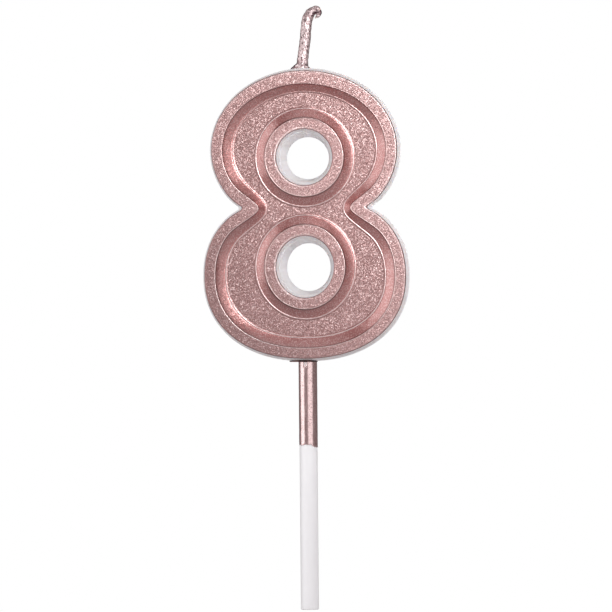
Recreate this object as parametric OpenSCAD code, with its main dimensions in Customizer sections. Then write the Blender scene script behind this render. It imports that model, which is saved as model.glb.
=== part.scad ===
// Number candle: a moulded wax figure eight with a metallic face, on a round pick,
// with a short lacquered wick at the top. X runs across the face, the face looks
// along -Y and Z runs up. The origin is on the pick's axis at the cake's surface.

/* [Figure] */
// Height of the face
face_h = 47.8; // [40:0.2:58]
// Width of the face across the lower lobe
face_w = 33.5; // [28:0.1:41]
// Thickness from the front of the lacquer to the back of the wax
thick = 8; // [6.6:0.1:9.8]
// How much narrower the upper lobe is than the lower one, on each side
shoulder = 1.3; // [0.8:0.1:1.8]
// Upper lobe's share of the two lobes' added heights
upper_share = 0.489; // [0.48:0.001:0.5]
// Height over which the two lobes run into each other
lobe_overlap = 6; // [5:0.1:7.2]
// Squareness of the lower lobe, where 2 is an ellipse
lower_square = 2.2; // [2:0.05:2.4]
// Width of the rounding in the waist notches
notch_blend = 1.2; // [0.8:0.1:2]
// Extra depth of the waist notches
waist_nip = 0.4; // [0:0.1:0.6]

/* [Relief] */
// Width of the flat border along the outline
border_w = 1.72; // [1.4:0.02:2.1]
// Extra width of the border over the top of the figure
crown_w = 0.45; // [0:0.05:0.6]
// Width of the rounding where the border turns at the waist
border_blend = 2.2; // [1.6:0.1:2.8]
// Width of the slope from the border down to the field
bevel_w = 1.6; // [1.3:0.05:1.95]
// Depth of the field below the border
relief_d = 1.1; // [0.8:0.1:1.4]
// Width of the flat rim round each eye
rim_w = 1.8; // [1.5:0.05:2.2]
// Width of the slope from each rim down to the field
rim_bevel_w = 1.5; // [1.2:0.05:1.8]

/* [Eyes] */
// Radius of the upper eye at the face
upper_eye_r = 4.72; // [3.9:0.02:5.7]
// Half width of the lower eye at the face
lower_eye_r = 4.85; // [4:0.05:5.8]
// How much taller than wide the lower eye is, above and below
lower_eye_rise = 0.35; // [0:0.05:0.6]
// How far the upper eye lies below its lobe's centre
upper_eye_drop = 1.22; // [1:0.02:1.4]
// How far the lower eye lies above its lobe's centre
lower_eye_lift = 1.45; // [1.2:0.05:1.7]
// Amount by which each eye narrows from the face to the back
eye_taper = 1.35; // [1.1:0.05:1.65]

/* [Side wall] */
// Depth behind the face of the line where the mould halves meet
parting_d = 2.7; // [2.2:0.1:3.3]
// Outward flare of the wall from the face to that line
front_flare = 0.45; // [0.35:0.05:0.55]
// Inward taper of the wall from that line to the back
back_taper = 0.5; // [0.4:0.05:0.6]

/* [Face lacquer] */
// Thickness of the lacquer on the face
film = 0.12; // [0.1:0.01:0.2]
// Depth to which the lacquer wraps over the edges
film_wrap = 0.4; // [0.25:0.05:0.8]

/* [Pick] */
// Diameter of the bare pick
pick_d = 3; // [2.5:0.1:3.6]
// Length of the pick below the face's lower edge
pick_l = 41.9; // [35:0.1:51]
// Length of the pick that is left bare, from its tip
bare_l = 27.5; // [23:0.5:33]
// Length of the pick that goes into the cake
insert_l = 25; // [21:0.5:26]
// Length of the pick that is cast into the wax
anchor_l = 7.4; // [6.2:0.1:8]
// Height of the anchor rings on the cast end
ring_h = 0.4; // [0.3:0.05:0.6]
// Length of one anchor ring
ring_l = 1; // [0.8:0.1:1.3]
// Number of anchor rings
ring_count = 3; // [2:1:3]
// Chamfer at the pick's tip
tip_chamfer = 0.25; // [0.1:0.05:0.4]
// Step down from the bare pick to its lacquered and cast stretch
core_step = 0.04; // [0.03:0.01:0.06]
// Narrowing of that stretch from the step to its upper end
core_draft = 0.03; // [0.02:0.01:0.05]
// Thickness of the lacquer on the pick
pick_film = 0.05; // [0.04:0.01:0.08]

/* [Wick] */
// Diameter of one cotton strand
strand_d = 0.62; // [0.5:0.02:0.74]
// Gap between neighbouring strands
strand_gap = 0.03; // [0.02:0.01:0.06]
// Length along which the strands turn once round each other
strand_pitch = 4.4; // [3.6:0.1:5.4]
// Thickness of the lacquered wax round the wick
wick_film = 0.16; // [0.1:0.01:0.22]
// Length of the wick that is cast into the wax
wick_embed = 6; // [4.8:0.1:6.6]
// How far the foot of the wick's lacquer spreads over the wax
foot_w = 0.42; // [0.3:0.02:0.6]

/* [Fits] */
// Gap between a cast-in piece and the wax round it
cast_gap = 0.02; // [0.01:0.01:0.03]

/* [Hidden] */

WAX = [0.95, 0.95, 0.94];
ROSE = [0.73, 0.53, 0.52];
ROSE_PALE = [0.86, 0.72, 0.71];
COTTON = [0.92, 0.88, 0.84];
PLASTIC = [0.95, 0.94, 0.97];

OUTLINE_N = 144;
EYE_N = 72;
STRAND_N = 8;
COAT_N = 12;
// A cut runs this far past the surface it opens
CUT = 1;
// A groove's mouth runs this far above its surface
MOUTH = 0.05;
// Share by which outline points crowd towards the waist notches
CROWDING = 0.8;
// Angle over which the extra depth of a notch fades out
NIP_SPREAD = 5;
// Height over which the extra width of the border fades out
CROWN_FADE = 6.5;
BISECTIONS = 26;

// Lobes
lobes_h = (face_h + lobe_overlap) / 2;
upper_b = lobes_h * upper_share;
lower_b = lobes_h - upper_b;
lower_a = face_w / 2;
upper_a = lower_a - shoulder;
face_z = pick_l - insert_l;
top_z = face_z + face_h;
lower_z = face_z + lower_b;
upper_z = top_z - upper_b;
waist_z = crossing(lower_z, upper_z, BISECTIONS);
upper_eye_z = upper_z - upper_eye_drop;
lower_eye_z = lower_z + lower_eye_lift;
lower_eye_rz = lower_eye_r + lower_eye_rise;

// Depths
front_y = -thick / 2;
back_y = thick / 2;
wax_y = front_y + film;
parting_y = front_y + parting_d;
eye_slope = eye_taper / thick;
bevel_slope = bevel_w / relief_d;
rim_slope = rim_bevel_w / relief_d;

// Pick
pick_r = pick_d / 2;
core_r = pick_r - core_step;
bare_z = bare_l - insert_l;
anchor_z = face_z + anchor_l;
ring_pitch = (anchor_l - front_flare) / (ring_count + 0.5);

// Wick
strand_r = strand_d / 2;
lay_r = (strand_d + strand_gap) / sqrt(3);
bundle_r = lay_r + strand_r;
coat_in_r = bundle_r + cast_gap;
coat_out_r = coat_in_r + wick_film;
// Centre line of the free wick: across, and up from the face's upper edge
WICK_ROUTE = [
    [-0.55, -1.2], [-0.55, 0], [-0.47, 1.2], [-0.31, 2.8], [0, 5.1],
    [0.2, 7.2], [0.46, 8.8], [1.2, 9.9], [2.6, 10.05]
];
// Points along each stretch of the free route, and along the cast end
WICK_STEPS = 5;
CAST_STEPS = 8;
// Point of the free route at which the wick's lacquer starts, inside the wax
COAT_FIRST = 2;
// Rise over which the foot of the wick's lacquer narrows
FOOT_FADE = 0.7;
wick_x = WICK_ROUTE[0][0];
wick_foot_z = top_z - wick_embed;

// Half width of a lobe at height z
function half_w(z, c, a, b, n) = a * pow(max(0, 1 - pow(abs(z - c) / b, n)), 1 / n);

// Height at which the two lobes are equally wide
function crossing(lo, hi, k) =
    let (m = (lo + hi) / 2)
    k == 0 ? m
    : half_w(m, upper_z, upper_a, upper_b, 2) > half_w(m, lower_z, lower_a, lower_b, lower_square)
        ? crossing(lo, m, k - 1)
        : crossing(m, hi, k - 1);

// Distance from the waist's centre to a lobe's edge in direction t
function lobe_r(t, c, a, b, n, lo = 0, hi = 100, k = BISECTIONS) =
    let (m = (lo + hi) / 2)
    let (f = pow(abs(m * cos(t)) / a, n) + pow(abs(waist_z + m * sin(t) - c) / b, n))
    k == 0 ? m
    : f > 1 ? lobe_r(t, c, a, b, n, lo, m, k - 1)
    : lobe_r(t, c, a, b, n, m, hi, k - 1);

// The larger of two values, with a rounded change from one to the other
function smooth_max(p, q, w) = max(p, q) + pow(max(0, w - abs(p - q)), 2) / (4 * w);

function crowded(u) = u - CROWDING * sin(2 * u) * 90 / PI;
function nip(t, depth) = depth * exp(-pow(asin(abs(sin(t))) / NIP_SPREAD, 2));

// Outline of the two lobes, grown by g, as points across and up
function outline(g, blend, depth) = [
    for (i = [0 : OUTLINE_N - 1])
        let (t = crowded(i * 360 / OUTLINE_N))
        let (up = lobe_r(t, upper_z, upper_a + g, upper_b + g, 2))
        let (low = lobe_r(t, lower_z, lower_a + g, lower_b + g, lower_square))
        let (r = smooth_max(up, low, blend) - nip(t, depth))
        [r * cos(t), waist_z + r * sin(t)]
];

function edge(g) = outline(g, notch_blend, waist_nip);

// Moves a closed outline inwards along its normals, by d and by a further extra at its top
function inset(pts, d, extra = 0) =
    let (n = len(pts))
    [
        for (i = [0 : n - 1])
            let (v = pts[(i + 1) % n] - pts[(i + n - 1) % n])
            let (share = exp(-pow((pts[i][1] - top_z) / CROWN_FADE, 2)))
            pts[i] + (d + extra * share) * [-v[1], v[0]] / norm(v)
    ];

function ellipse(z, rx, rz) = [
    for (i = [0 : EYE_N - 1])
        let (t = i * 360 / EYE_N)
        [rx * cos(t), z + rz * sin(t)]
];

// A point across and up, put at depth y
function at_depth(pts, y) = [for (p = pts) [p[0], y, p[1]]];

function sum(v, i = 0) = i == len(v) ? 0 : v[i] + sum(v, i + 1);
function mean(pts) = [for (k = [0 : 2]) sum([for (p = pts) p[k]]) / len(pts)];

// Closed solid through rings with equal numbers of points
module loft(rings) {
    n = len(rings[0]);
    m = len(rings);
    first = m * n;
    last = first + 1;
    points = concat([for (r = rings) each r], [mean(rings[0]), mean(rings[m - 1])]);
    walls = [
        for (k = [0 : m - 2], i = [0 : n - 1])
            let (j = (i + 1) % n)
            each [
                [k * n + i, k * n + j, (k + 1) * n + j],
                [k * n + i, (k + 1) * n + j, (k + 1) * n + i]
            ]
    ];
    front_cap = [for (i = [0 : n - 1]) [first, (i + 1) % n, i]];
    back_cap = [for (i = [0 : n - 1]) [last, (m - 1) * n + i, (m - 1) * n + (i + 1) % n]];
    polyhedron(points = points, faces = concat(walls, front_cap, back_cap));
}

// Closed tube between two equal sets of rings, one inside the other
module pipe(outer, inner) {
    n = len(outer[0]);
    m = len(outer);
    in0 = m * n;
    points = concat([for (r = outer) each r], [for (r = inner) each r]);
    walls = [
        for (k = [0 : m - 2], i = [0 : n - 1])
            let (j = (i + 1) % n)
            each [
                [k * n + i, k * n + j, (k + 1) * n + j],
                [k * n + i, (k + 1) * n + j, (k + 1) * n + i],
                [in0 + k * n + j, in0 + k * n + i, in0 + (k + 1) * n + j],
                [in0 + (k + 1) * n + j, in0 + k * n + i, in0 + (k + 1) * n + i]
            ]
    ];
    e = (m - 1) * n;
    ends = [
        for (i = [0 : n - 1])
            let (j = (i + 1) % n)
            each [
                [j, i, in0 + i],
                [j, in0 + i, in0 + j],
                [e + i, e + j, in0 + e + i],
                [e + j, in0 + e + j, in0 + e + i]
            ]
    ];
    polyhedron(points = points, faces = concat(walls, ends));
}

// Block with the outline of the wax eight
module blank() {
    loft([
        at_depth(edge(-film), wax_y),
        at_depth(edge(front_flare), parting_y),
        at_depth(edge(front_flare - back_taper), back_y)
    ]);
}

// Block of lacquer that covers the face, reaches over the edge and fills the relief
module lacquer_blank() {
    wrap_g = (front_flare + film) * film_wrap / (parting_d - film);
    wrap_y = wax_y + film_wrap;
    core = edge(-border_w / 2);
    loft([
        at_depth(edge(0), front_y),
        at_depth(edge(wrap_g), wrap_y),
        at_depth(core, wrap_y),
        at_depth(core, wax_y + relief_d + CUT / 2)
    ]);
}

// Sunken field inside the border
module field(lift) {
    border = outline(-border_w, border_blend, 0);
    crown = crown_w * (1 + MOUTH / relief_d);
    loft([
        at_depth(inset(border, -MOUTH * bevel_slope, crown), wax_y - lift - MOUTH),
        at_depth(inset(border, bevel_w), wax_y - lift + relief_d)
    ]);
}

// Raised rims round the eyes, with their roots in the wax under the field
module rims(lift) {
    root_d = relief_d + CUT;
    upper_r = upper_eye_r + rim_w;
    lower_r = lower_eye_r + rim_w;
    lower_rz = lower_eye_rz + rim_w;
    translate([0, wax_y - lift, upper_eye_z])
        rotate([-90, 0, 0])
            cylinder(h = root_d, r1 = upper_r, r2 = upper_r + root_d * rim_slope, $fn = EYE_N);
    loft([
        at_depth(ellipse(lower_eye_z, lower_r, lower_rz), wax_y - lift),
        at_depth(
            ellipse(lower_eye_z, lower_r + root_d * rim_slope, lower_rz + root_d * rim_slope),
            wax_y - lift + root_d
        )
    ]);
}

// Tapered openings through both eyes, narrowed by skin
module eyes(skin) {
    wide = film - skin + CUT * eye_slope;
    narrow = film - skin - (thick + CUT) * eye_slope;
    translate([0, front_y - CUT, upper_eye_z])
        rotate([-90, 0, 0])
            cylinder(h = thick + 2 * CUT, r1 = upper_eye_r + wide, r2 = upper_eye_r + narrow, $fn = EYE_N);
    loft([
        at_depth(ellipse(lower_eye_z, lower_eye_r + wide, lower_eye_rz + wide), front_y - CUT),
        at_depth(ellipse(lower_eye_z, lower_eye_r + narrow, lower_eye_rz + narrow), back_y + CUT)
    ]);
}

// Gives a block the relief and the eyes, with its face lifted and its eyes narrowed
module carved(skin, lift) {
    difference() {
        union() {
            difference() {
                children();
                field(lift);
            }
            rims(lift);
        }
        eyes(skin);
    }
}

module wax_figure() {
    carved(0, 0) blank();
}

// Radius of the pick at height z, above its bare stretch
function core_at(z) = core_r - core_draft * (z - bare_z) / (anchor_z - bare_z);

// Slightly tapered stretch of the pick between two heights, grown by g
module core(low, high, g) {
    translate([0, 0, low])
        cylinder(h = high - low, r1 = core_at(low) + g, r2 = core_at(high) + g, $fn = 48);
}

// Cast end of the pick, grown by g on every side
module anchor(g) {
    core(bare_z, anchor_z + g, g);
    for (i = [1 : ring_count])
        let (low = anchor_z - i * ring_pitch - g)
        let (high = low + ring_l + 2 * g)
        translate([0, 0, low])
            cylinder(h = high - low, r1 = core_at(low) + ring_h + g, r2 = core_at(high) + g, $fn = 48);
}

// Channel for the cast end of the wick
module wick_channel() {
    translate([wick_x, 0, wick_foot_z - cast_gap])
        cylinder(h = wick_embed + CUT, r = coat_in_r, $fn = 32);
}

// Smooth curve through the points p, at parameter s from 0 to the last index
function spline(p, s) =
    let (last = len(p) - 1)
    let (i = min(floor(s), last - 1))
    let (u = s - i)
    let (p0 = p[max(0, i - 1)], p1 = p[i], p2 = p[i + 1], p3 = p[min(last, i + 2)])
    0.5 * (2 * p1 + (p2 - p0) * u + (2 * p0 - 5 * p1 + 4 * p2 - p3) * u * u
        + (3 * p1 - p0 - 3 * p2 + p3) * u * u * u);

free_route = [
    for (k = [0 : (len(WICK_ROUTE) - 1) * WICK_STEPS])
        let (q = spline(WICK_ROUTE, k / WICK_STEPS))
        [q[0], 0, top_z + q[1]]
];
cast_rise = free_route[0][2] - wick_foot_z;
cast_route = [for (k = [0 : CAST_STEPS - 1]) [wick_x, 0, wick_foot_z + cast_rise * k / CAST_STEPS]];
wick_route = concat(cast_route, free_route);

// Direction of a route at point i
function heading(route, i) =
    let (v = route[min(i + 1, len(route) - 1)] - route[max(i - 1, 0)])
    v / norm(v);

// Length of a route from its start up to point i
function run(route, i) = i == 0 ? 0 : run(route, i - 1) + norm(route[i] - route[i - 1]);

// Ring of n points, r from the route's point i and off by the vector o in its plane
function ring(route, i, n, r, o = [0, 0]) =
    let (h = heading(route, i))
    let (side = [h[2], 0, -h[0]], deep = [0, 1, 0])
    [
        for (k = [0 : n - 1])
            let (a = -k * 360 / n)
            route[i] + (o[0] + r * cos(a)) * side + (o[1] + r * sin(a)) * deep
    ];

// One strand of the wick, which starts at the given angle
module strand(start) {
    loft([
        for (i = [0 : len(wick_route) - 1])
            let (a = start + 360 * run(wick_route, i) / strand_pitch)
            ring(wick_route, i, STRAND_N, strand_r, lay_r * [cos(a), sin(a)])
    ]);
}

module wax_body() {
    color(WAX)
        difference() {
            wax_figure();
            anchor(cast_gap);
            wick_channel();
        }
}

module face_lacquer() {
    color(ROSE)
        difference() {
            carved(film, film) lacquer_blank();
            wax_figure();
            translate([0, CUT + film + film_wrap, 0]) eyes(0);
        }
}

module wick_strand_1() {
    color(COTTON) strand(90);
}

module wick_strand_2() {
    color(COTTON) strand(210);
}

module wick_strand_3() {
    color(COTTON) strand(330);
}

module wick_coat() {
    stations = [for (i = [COAT_FIRST : len(free_route) - 1]) i];
    start = run(free_route, WICK_STEPS);
    color(ROSE_PALE)
        difference() {
            pipe(
                [
                    for (i = stations)
                        let (s = max(0, run(free_route, i) - start))
                        ring(free_route, i, COAT_N, coat_out_r + foot_w * exp(-s / FOOT_FADE))
                ],
                [for (i = stations) ring(free_route, i, COAT_N, coat_in_r)]
            );
            blank();
        }
}

module pick_rod() {
    color(PLASTIC)
        union() {
            translate([0, 0, -insert_l])
                cylinder(h = tip_chamfer, r1 = pick_r - tip_chamfer, r2 = pick_r, $fn = 48);
            translate([0, 0, tip_chamfer - insert_l])
                cylinder(h = bare_l - tip_chamfer, r = pick_r, $fn = 48);
            anchor(0);
        }
}

module pick_lacquer() {
    color(ROSE)
        difference() {
            core(bare_z, face_z + CUT, pick_film);
            core(bare_z - CUT, face_z + 2 * CUT, 0);
            blank();
        }
}

wax_body();
face_lacquer();
wick_strand_1();
wick_strand_2();
wick_strand_3();
wick_coat();
pick_rod();
pick_lacquer();
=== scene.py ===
import math

import bmesh
import bpy
import numpy as np
from mathutils import Matrix, Vector, noise
from mathutils.geometry import delaunay_2d_cdt


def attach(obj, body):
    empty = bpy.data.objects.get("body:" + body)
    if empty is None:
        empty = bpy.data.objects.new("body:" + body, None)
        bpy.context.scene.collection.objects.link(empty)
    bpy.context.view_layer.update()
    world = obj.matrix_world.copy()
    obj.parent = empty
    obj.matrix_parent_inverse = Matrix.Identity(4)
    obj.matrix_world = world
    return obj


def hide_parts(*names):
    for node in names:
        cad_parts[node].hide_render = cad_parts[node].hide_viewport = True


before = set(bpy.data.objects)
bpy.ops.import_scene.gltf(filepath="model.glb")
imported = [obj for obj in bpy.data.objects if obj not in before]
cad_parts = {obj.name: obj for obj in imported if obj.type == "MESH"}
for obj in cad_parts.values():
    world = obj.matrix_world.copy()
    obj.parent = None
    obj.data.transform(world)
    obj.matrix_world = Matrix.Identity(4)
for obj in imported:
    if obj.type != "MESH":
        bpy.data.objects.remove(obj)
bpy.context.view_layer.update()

# All shapes below are worked out in millimetres and become metres in mesh_object().
MM = 0.001

# ---------------------------------------------------------------- sizes

FACE_H, FACE_W, THICK = 47.8, 33.5, 8.0
SHOULDER, UPPER_SHARE, LOBE_OVERLAP = 1.3, 0.489, 6.0
LOWER_SQUARE = 2.2
NOTCH_BLEND, WAIST_NIP, NIP_SPREAD = 1.2, 0.4, math.radians(5)
BORDER_W, BORDER_BLEND, BORDER_NIP, BORDER_SPREAD = 1.72, 1.5, 1.0, math.radians(9)
BEVEL_W, RELIEF_D = 1.6, 1.1
RIM_W, RIM_BEVEL_W = 1.8, 1.5
UPPER_EYE_R, LOWER_EYE_R, LOWER_EYE_RISE = 4.72, 4.85, 0.35
UPPER_EYE_DROP, LOWER_EYE_LIFT, EYE_TAPER = 1.22, 1.45, 1.35
PARTING_D, FRONT_FLARE, BACK_TAPER = 2.7, 0.45, 0.5
FILM, FILM_WRAP = 0.12, 0.4
PICK_R, PICK_L, BARE_L, INSERT_L, PICK_FILM = 1.5, 41.9, 27.5, 25.0, 0.05
STRAND_D, STRAND_GAP, STRAND_PITCH, WICK_FILM = 0.62, 0.03, 4.4, 0.16
CROWN_W, CROWN_FADE = 0.45, 6.5

LOBES_H = (FACE_H + LOBE_OVERLAP) / 2
UPPER_B = LOBES_H * UPPER_SHARE
LOWER_B = LOBES_H - UPPER_B
LOWER_A = FACE_W / 2
UPPER_A = LOWER_A - SHOULDER
FACE_Z = PICK_L - INSERT_L
TOP_Z = FACE_Z + FACE_H
LOWER_Z = FACE_Z + LOWER_B
UPPER_Z = TOP_Z - UPPER_B
FRONT_Y, BACK_Y = -THICK / 2, THICK / 2
WAX_Y = FRONT_Y + FILM
PARTING_Y = FRONT_Y + PARTING_D
EYES = (
    (UPPER_Z - UPPER_EYE_DROP, UPPER_EYE_R, UPPER_EYE_R),
    (LOWER_Z + LOWER_EYE_LIFT, LOWER_EYE_R, LOWER_EYE_R + LOWER_EYE_RISE),
)
EYE_SLOPE = EYE_TAPER / THICK

# Points round the outline and round an eye, and how strongly the outline's crowd at the waist
OUTLINE_N = 640
EYE_N = 288
CROWDING = 0.8
# Radii of the rounded outer edges, of the lacquer and of the wax under it
COAT_ROUND, WAX_ROUND = 0.22, 0.16


# ---------------------------------------------------------------- outlines


def half_width(z, centre, a, b, power):
    return a * max(0.0, 1 - (abs(z - centre) / b) ** power) ** (1 / power)


def waist():
    """Height at which both lobes are equally wide."""
    low, high = LOWER_Z, UPPER_Z
    for _ in range(40):
        mid = (low + high) / 2
        upper = half_width(mid, UPPER_Z, UPPER_A, UPPER_B, 2)
        lower = half_width(mid, LOWER_Z, LOWER_A, LOWER_B, LOWER_SQUARE)
        low, high = (low, mid) if upper > lower else (mid, high)
    return (low + high) / 2


WAIST_Z = waist()


def lobe_radius(t, centre, a, b, power):
    """Distance from the waist's centre to a lobe's edge, for each direction in t."""
    low, high = np.zeros_like(t), np.full_like(t, 100.0)
    for _ in range(44):
        mid = (low + high) / 2
        f = (np.abs(mid * np.cos(t)) / a) ** power
        f += (np.abs(WAIST_Z + mid * np.sin(t) - centre) / b) ** power
        low, high = np.where(f < 1, mid, low), np.where(f < 1, high, mid)
    return (low + high) / 2


def outline(grow, blend, nip, spread=NIP_SPREAD):
    """Closed outline of the two lobes, grown by a distance, as points across and up."""
    u = np.arange(OUTLINE_N) * 2 * np.pi / OUTLINE_N
    t = u - CROWDING * np.sin(2 * u) / 2
    upper = lobe_radius(t, UPPER_Z, UPPER_A + grow, UPPER_B + grow, 2)
    lower = lobe_radius(t, LOWER_Z, LOWER_A + grow, LOWER_B + grow, LOWER_SQUARE)
    r = np.maximum(upper, lower) + np.maximum(0, blend - np.abs(upper - lower)) ** 2 / (4 * blend)
    r -= nip * np.exp(-((np.arcsin(np.abs(np.sin(t))) / spread) ** 2))
    return np.stack([r * np.cos(t), WAIST_Z + r * np.sin(t)], axis=1)


def edge(grow):
    return outline(grow, NOTCH_BLEND, WAIST_NIP)


def near(points, height, reach):
    """How near each point is to a height, from 0 to 1, fading over a reach."""
    return np.exp(-(((points[:, 1] - height) / reach) ** 2))[:, None]


def rounded(points, passes):
    """Rounds a closed outline's waist corners."""
    share = 0.5 * near(points, WAIST_Z, 1.8)
    for _ in range(passes):
        middle = (np.roll(points, 1, axis=0) + np.roll(points, -1, axis=0)) / 2
        points = points + share * (middle - points)
    return points


def facing(flat, centre_z, bearing):
    """How squarely each point lies at a bearing (degrees, from +X to +Z) from a centre, from -1 to 1."""
    return np.cos(np.arctan2(flat[:, 1] - centre_z, flat[:, 0]) - math.radians(bearing))


def inwards(points):
    """Normals of a closed outline, towards its inside."""
    along = np.roll(points, -1, axis=0) - np.roll(points, 1, axis=0)
    normal = np.stack([-along[:, 1], along[:, 0]], axis=1)
    return normal / np.linalg.norm(normal, axis=1)[:, None]


BORDER = rounded(outline(-BORDER_W, BORDER_BLEND, BORDER_NIP, BORDER_SPREAD), 2600)
# The border is wider over the top of the figure, and the slope below it narrower by as much
BORDER += CROWN_W * near(BORDER, TOP_Z, CROWN_FADE) * inwards(BORDER)
# Painted highlight (to 1) or painted shade (to -1) on the lacquer, down a slope's top edge and its foot
EDGE_PAINTED_LIGHT = (0.0, 0.6, 1.0, 0.9, 0.2, -0.6, -1.0)
FOOT_PAINTED_LIGHT = (0.2, 0.7, 1.0, 1.0, 1.0, 0.6, 0.1, -0.4)
# Satin share and painted light round an outer edge, from the wall to the flat: painted shade near the wall,
# painted highlight near the flat
ROUND_SATIN_AND_PAINTED_LIGHT = ((0.6, -0.8), (0.6, -0.6), (0.5, -0.1), (0.4, 0.5), (0.3, 0.9), (0.2, 1.0), (0.1, 1.0))
# Shares of a slope at which it has rings, the angles it starts and ends with, its edge, the share below the
# edge painted with shade, and its bead
SLOPE_STEPS = (0.06, 0.14, 0.25, 0.38, 0.52, 0.66, 0.8, 0.92, 1.0)
STEEP, EASY = math.radians(42), math.radians(31)
SLOPE_ROUND, PAINTED_SHADE_SHARE = 0.26, 0.20
BEAD_W, BEAD_H = 0.28, 0.035
CORNER_NARROWING, CORNER_REACH = 0.28, 2.6
LIP_W = 0.14


def inset(points, distance):
    """Moves a closed outline inwards along its normals, less so round the waist corners and the top."""
    share = 1 - CORNER_NARROWING * near(points, WAIST_Z, CORNER_REACH)
    share -= CROWN_W / BEVEL_W * near(points, TOP_Z, CROWN_FADE)
    return points + distance * share * inwards(points)


def eye_ring(eye, grow):
    z, rx, rz = eye
    t = np.arange(EYE_N) * 2 * np.pi / EYE_N
    return np.stack([(rx + grow) * np.cos(t), z + (rz + grow) * np.sin(t)], axis=1)


def fillet(angle, radius, steps):
    """Points of a rounding that turns by an angle, as (along, across). Its corner is at 0, 0."""
    cut = radius * math.tan(angle / 2)
    phi = np.linspace(0, angle, steps + 1)
    return np.stack([-cut + radius * np.sin(phi), radius * (1 - np.cos(phi))], axis=1)


def slope_profile(width, depth):
    """Path down a hollow slope with a rounded top edge and a small bead on its foot.

    Each point is (inwards, down, satin share, painted light), with painted highlight above 0 and painted
    shade below 0.
    """
    a, b = (np.array([math.cos(angle), math.sin(angle)]) for angle in (STEEP, EASY))
    end = np.array([width, depth])
    reach = np.linalg.solve(np.stack([a, b], axis=1), end)
    bend = a * reach[0]
    path = []
    for n, ((along, down), painted_light) in enumerate(zip(fillet(STEEP, SLOPE_ROUND, 6), EDGE_PAINTED_LIGHT)):
        path.append((along, down, min(1.0, n / 2), painted_light))
    start = np.array(path[-1][:2])
    for u in SLOPE_STEPS:
        point = (1 - u) ** 2 * start + 2 * u * (1 - u) * bend + u * u * end
        # The top of the slope, just under its edge, is painted darker as painted shade.
        path.append((point[0], point[1], 1.0, -max(0.0, 1 - u / PAINTED_SHADE_SHARE)))
    for u, painted_light in zip(np.linspace(0, 1, 9)[1:], FOOT_PAINTED_LIGHT):
        path.append((width + BEAD_W * u, depth - BEAD_H * math.sin(math.pi * u) ** 2, 1.0, painted_light))
    # Painted shade just past the bead, fading out on the field.
    path.append((width + BEAD_W + 0.14, depth, 0.0, -0.35))
    path.append((width + BEAD_W + 0.30, depth, 0.0, 0.0))
    return path


# ---------------------------------------------------------------- meshes


class Shell:
    """Collects rings of points and the faces between them."""

    def __init__(self):
        self.points, self.faces, self.satin, self.painted_light = [], [], [], []

    def ring(self, flat, y, satin=0.0, painted_light=0.0):
        """Adds a ring of (across, up) points at depth y, which is a number or one per point."""
        ys = np.broadcast_to(y, (len(flat),))
        return self.ring3(np.stack([flat[:, 0], ys, flat[:, 1]], axis=1), satin, painted_light)

    def ring3(self, points, satin=0.0, painted_light=0.0):
        start = len(self.points)
        self.points += [tuple(p) for p in points]
        self.satin += [satin] * len(points)
        self.painted_light += np.broadcast_to(painted_light, (len(points),)).tolist()
        return list(range(start, start + len(points)))

    def band(self, a, b):
        n = len(a)
        self.faces += [(a[i], a[(i + 1) % n], b[(i + 1) % n], b[i]) for i in range(n)]

    def bands(self, rings):
        for a, b in zip(rings, rings[1:]):
            self.band(a, b)

    def cap(self, ring, point):
        """Closes a ring with a fan to one point."""
        tip = self.ring3([point])[0]
        n = len(ring)
        self.faces += [(ring[i], ring[(i + 1) % n], tip) for i in range(n)]

    def fill(self, outer, holes, spacing=None, depth=None):
        """Fills the region between an outer ring and the holes.

        spacing adds inner points, and depth(flat, clearance) gives their y.
        """
        loops = [outer, *holes]
        ids = [i for loop in loops for i in loop]
        flat = np.array([(self.points[i][0], self.points[i][2]) for i in ids])
        edges, at = [], 0
        for loop in loops:
            edges += [(at + i, at + (i + 1) % len(loop)) for i in range(len(loop))]
            at += len(loop)
        bounds = [np.array([(self.points[i][0], self.points[i][2]) for i in loop]) for loop in loops]
        if spacing:
            low, high = flat.min(0), flat.max(0)
            gx, gz = np.meshgrid(np.arange(low[0], high[0], spacing), np.arange(low[1], high[1], spacing))
            gx[1::2] += spacing / 2
            grid = np.stack([gx.ravel(), gz.ravel()], axis=1)
            clear = np.sqrt(((grid[:, None, :] - flat[None, ::3, :]) ** 2).sum(2)).min(1)
            keep = in_region(grid, bounds) & (clear > 0.45 * spacing)
            grid, clear = grid[keep], clear[keep]
            start = len(self.points)
            ys = depth(grid, clear)
            self.points += [(p[0], y, p[1]) for p, y in zip(grid, ys)]
            self.satin += [0.0] * len(grid)
            self.painted_light += [0.0] * len(grid)
            ids += list(range(start, start + len(grid)))
            flat = np.concatenate([flat, grid])
        out = delaunay_2d_cdt([Vector(p) for p in flat], edges, [], 0, 1e-7, True)
        origin = [o[0] if o else None for o in out[3]]
        centres = np.array([np.mean([tuple(out[0][i]) for i in f], axis=0) for f in out[2]])
        inside = in_region(centres, bounds)
        for f, ok in zip(out[2], inside):
            if ok and all(origin[i] is not None for i in f):
                self.faces.append(tuple(ids[origin[i]] for i in f))

    def object(self, name, material, smooth_angle=35):
        o = mesh_object(name, self.points, self.faces, material, smooth_angle)
        # The second mark carries painted highlights and painted shade into the lacquer materials.
        for kind, values in (("satin", self.satin), ("painted_light", self.painted_light)):
            mark = o.data.attributes.new(kind, "FLOAT", "POINT")
            mark.data.foreach_set("value", np.array(values, np.float32))
        return o


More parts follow.
